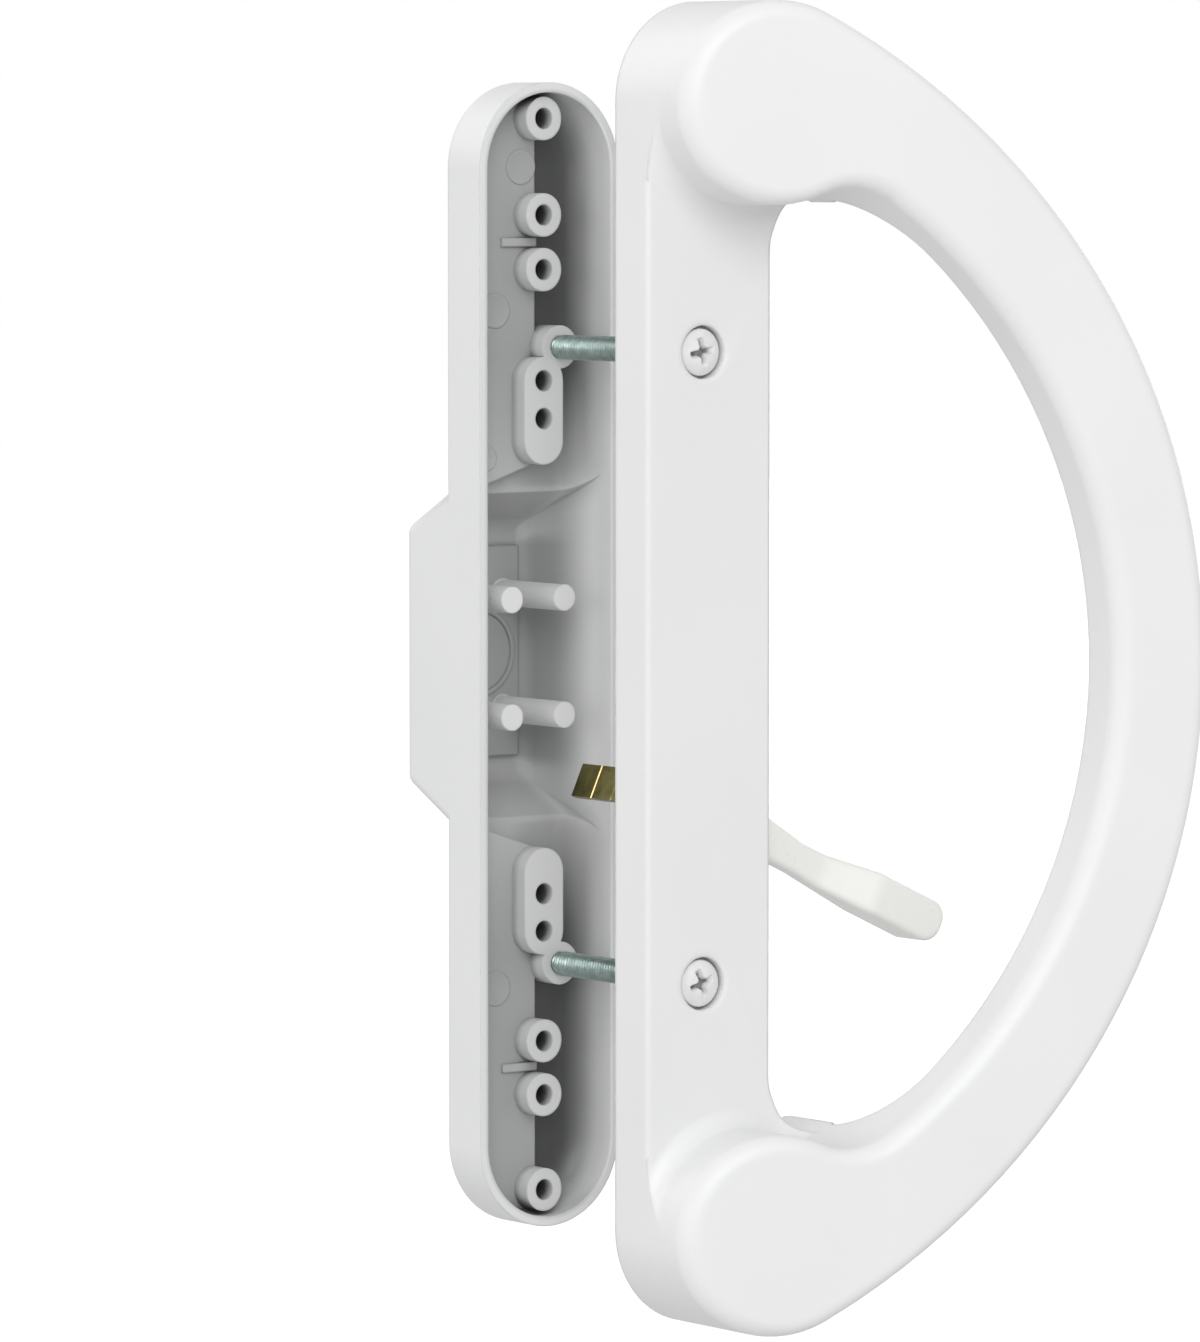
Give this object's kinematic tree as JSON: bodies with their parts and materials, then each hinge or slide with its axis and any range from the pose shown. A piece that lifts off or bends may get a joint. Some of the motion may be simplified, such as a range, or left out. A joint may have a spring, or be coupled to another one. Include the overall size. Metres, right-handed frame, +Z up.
{
  "type": "sliding patio door handle",
  "caption": "White sliding patio door handle: D grip on a long plate with a thumb lever turning a tailpiece, and a hollow outside pull clamped by screws through the door.",
  "frame": {"origin": "midway between the axes of the two mounting screws, on the back plane of the interior handle, which rests on the door", "axes": "+Z up along the handle, +Y from the room into the door along the screws, +X towards the side that the D grip reaches over"},
  "size_m": [0.0907, 0.0943, 0.2104],
  "materials": {
    "interior_paint": "white powder coat over a zinc diecasting",
    "exterior_paint": "white powder coat over a zinc diecasting",
    "lever_plastic": "white moulded, semi-gloss",
    "tail_brass": "dull, as rolled",
    "washer_nylon": "plain",
    "retainer_steel": "zinc plated",
    "small_screw_steel": "zinc plated",
    "screw_zinc": "zinc plated thread, the head painted white"
  },
  "bodies": {
    "fixed": {"interior_handle": "interior_paint", "friction_washer": "washer_nylon", "retainer_plate": "retainer_steel", "retainer_screws": "small_screw_steel", "mounting_screw_upper": "screw_zinc", "mounting_screw_lower": "screw_zinc", "exterior_pull": "exterior_paint"},
    "lever": {"thumb_lever": "lever_plastic", "tailpiece": "tail_brass"}
  },
  "joints": [
    {"name": "lever_turn", "type": "hinge", "parent": "fixed", "child": "lever", "pos_m": [-0.0038, 0, -0.0194], "axis": [0, -1, 0], "range_deg": [0, 48]}
  ]
}
